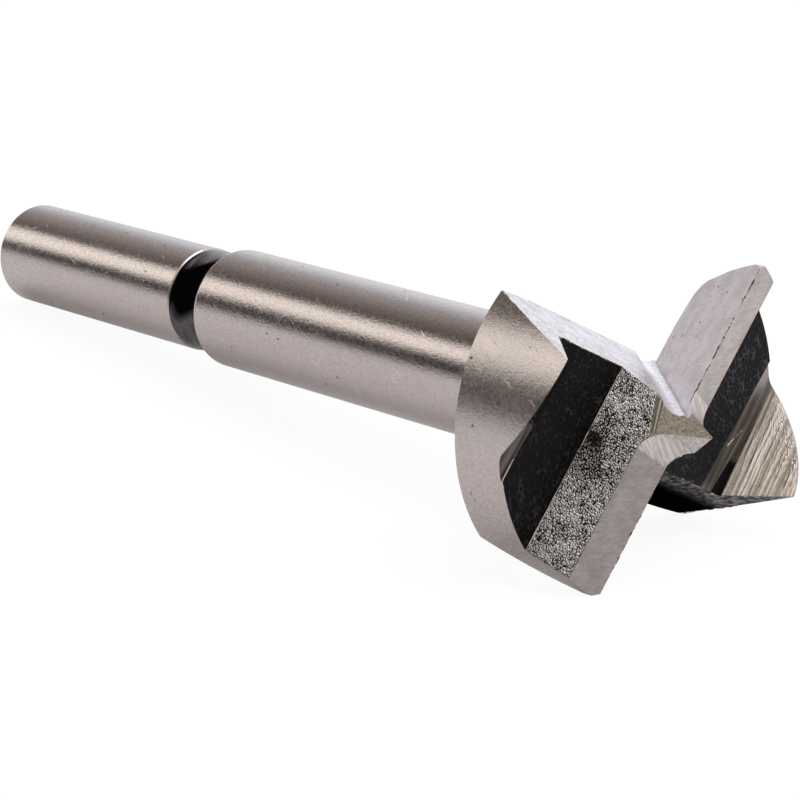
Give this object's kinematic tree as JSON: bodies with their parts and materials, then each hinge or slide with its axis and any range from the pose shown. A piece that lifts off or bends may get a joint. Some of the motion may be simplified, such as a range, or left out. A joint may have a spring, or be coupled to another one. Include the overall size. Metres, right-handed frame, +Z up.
{
  "type": "forstner bit",
  "caption": "Forstner drill bit: round stepped shank, brad point, and a two-winged head with cutting lips, scoring spurs and chip throats.",
  "frame": {"origin": "centre of the bounding box's foot, with the bit lying on its side as it comes to rest", "axes": "+X along the bit towards the point, seen from above; +Z up from the table that it lies on"},
  "size_m": [0.0774, 0.025, 0.0196],
  "materials": {
    "forstner_bit": "ground and satin, with blackened unground hollows"
  },
  "bodies": {
    "root": {"forstner_bit": "forstner_bit"}
  },
  "joints": []
}
